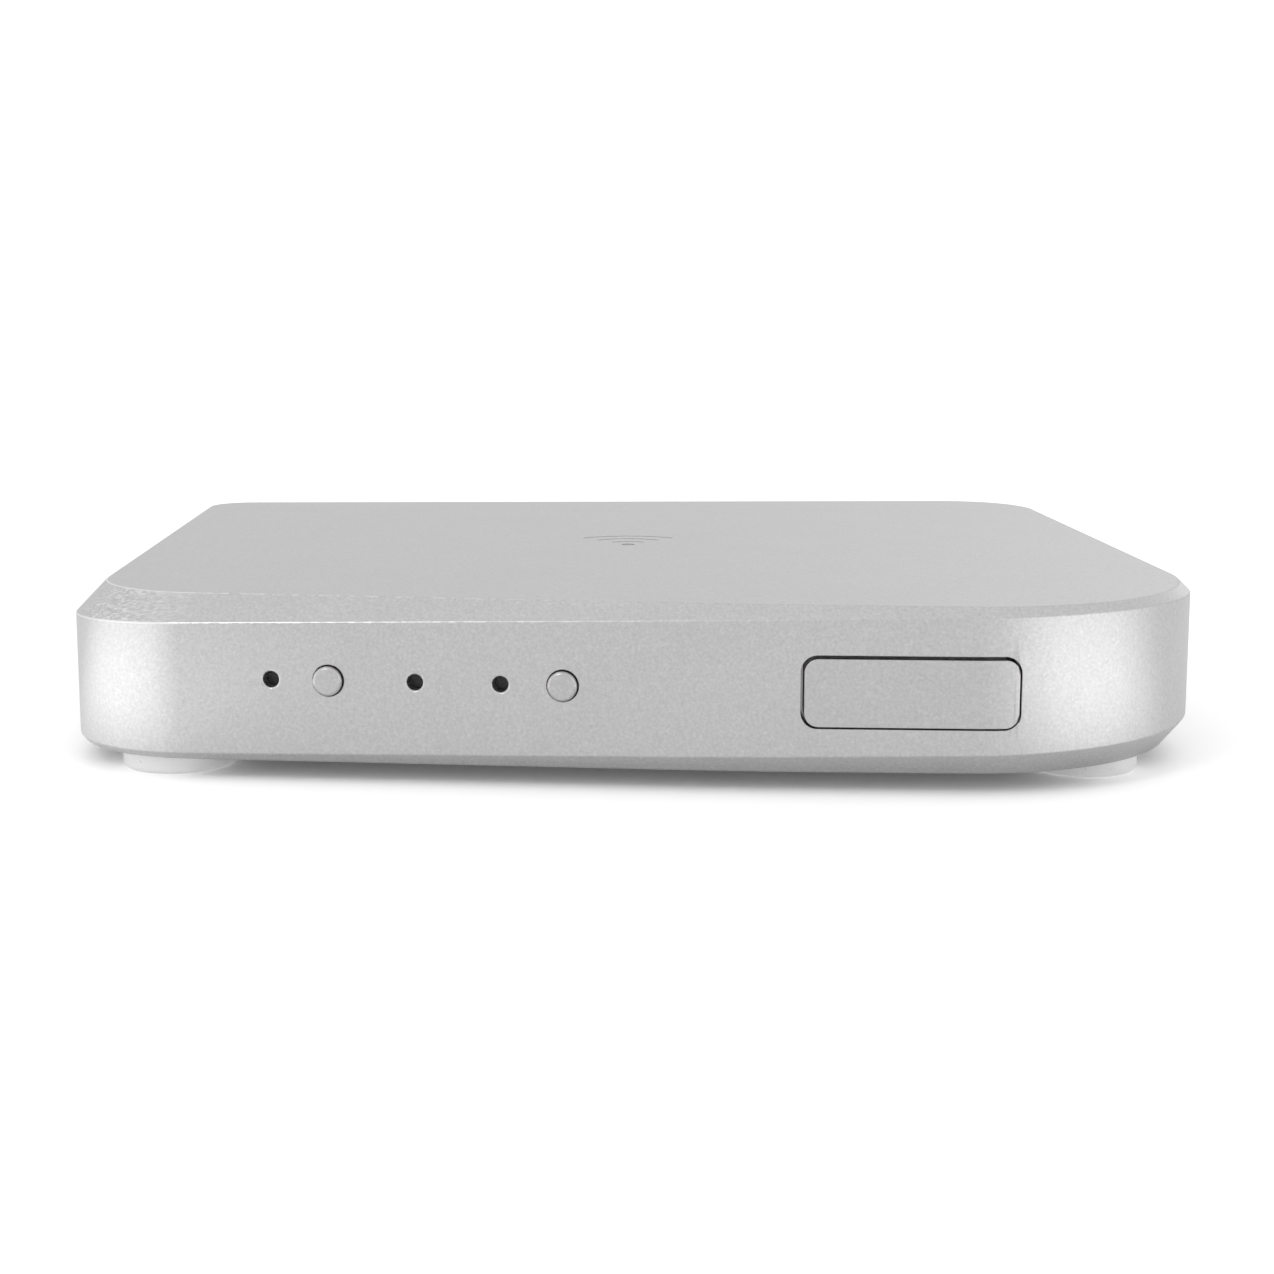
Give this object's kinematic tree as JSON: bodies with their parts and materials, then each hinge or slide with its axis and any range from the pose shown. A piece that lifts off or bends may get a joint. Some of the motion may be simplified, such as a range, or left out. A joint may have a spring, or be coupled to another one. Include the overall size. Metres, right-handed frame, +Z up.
{
  "type": "bluetooth audio receiver",
  "caption": "Low sculpted aluminium desktop receiver with round buttons, pinhole lights and a wide flush key in front, phono, optical and power sockets at the rear.",
  "frame": {"origin": "on the surface the feet stand on, under the middle of the overall box, rear sockets included", "axes": "+Z up, -Y the front with the buttons, +Y the rear with the sockets, +X to the right seen from the front"},
  "size_m": [0.1364, 0.1246, 0.0207],
  "materials": {
    "body_shell": "fine bead-blasted, silver",
    "base": "brushed, silver",
    "screws": "satin",
    "foot": "clear, smooth",
    "window": "fine grain, black",
    "buttons": "fine bead-blasted, bevelled edge",
    "key": "fine bead-blasted, bevelled edge",
    "pipe": "smoky, clear",
    "led": "milky",
    "board": "green solder mask",
    "black_plastic": "fine grain",
    "plunger": "ivory",
    "gold": "gold plated",
    "blue_board": "blue solder mask",
    "tinned": "tinned, dull",
    "copper": "thin coated copper",
    "lead": "smooth",
    "chip": "moulded, dull",
    "can": "bright",
    "ferrite": "dull grey",
    "crystal": "satin",
    "ceramic": "fired ceramic",
    "white_plastic": "smooth",
    "red_plastic": "smooth",
    "orange_plastic": "smooth",
    "nickel": "nickel plated",
    "flap": "fine grain",
    "lens": "red, clear"
  },
  "bodies": {
    "chassis": {"enclosure": "body_shell", "base_plate": "base", "base_screws": "screws", "feet": "foot", "radio_window": "window", "light_pipes": "pipe", "status_leds": "led", "control_board": "board", "key_board": "board", "front_board_screws": "screws", "switch_bodies": "black_plastic", "link_headers": "black_plastic", "link_pins": "gold", "main_board": "board", "board_screws": "screws", "radio_module": "blue_board", "radio_shield": "tinned", "antenna": "copper", "antenna_lead": "lead", "converter_chip": "chip", "line_drivers": "chip", "regulators": "chip", "filter_capacitors": "can", "inductors": "ferrite", "crystals": "crystal", "chip_passives": "ceramic", "phono_housings": "black_plastic", "phono_sleeves": "gold", "left_insulator": "white_plastic", "right_insulator": "red_plastic", "coax_insulator": "orange_plastic", "phono_contacts": "gold", "power_socket": "black_plastic", "power_pin": "nickel", "optical_housing": "black_plastic", "optical_lens": "lens"},
    "power_button": {"power_button": "buttons", "power_plunger": "plunger"},
    "pairing_button": {"pairing_button": "buttons", "pairing_plunger": "plunger"},
    "source_key": {"source_key": "key", "key_plunger": "plunger"},
    "optical_flap": {"optical_flap": "flap"}
  },
  "joints": [
    {"name": "power_button_press", "type": "slide", "parent": "chassis", "child": "power_button", "axis": [0.1203, 0.9927, 0], "range_m": [0, 0.0004], "stiffness_N_per_m": 150},
    {"name": "pairing_button_press", "type": "slide", "parent": "chassis", "child": "pairing_button", "axis": [0.1203, 0.9927, 0], "range_m": [0, 0.0004], "stiffness_N_per_m": 150},
    {"name": "source_key_press", "type": "slide", "parent": "chassis", "child": "source_key", "axis": [0.0607, 0.9982, 0], "range_m": [0, 0.0004], "stiffness_N_per_m": 150},
    {"name": "optical_flap_swing", "type": "hinge", "parent": "chassis", "child": "optical_flap", "pos_m": [-0.03324, 0.05268, 0.01225], "axis": [-1, 0, 0], "range_deg": [0, 80], "stiffness_Nm_per_rad": 0.0001}
  ]
}
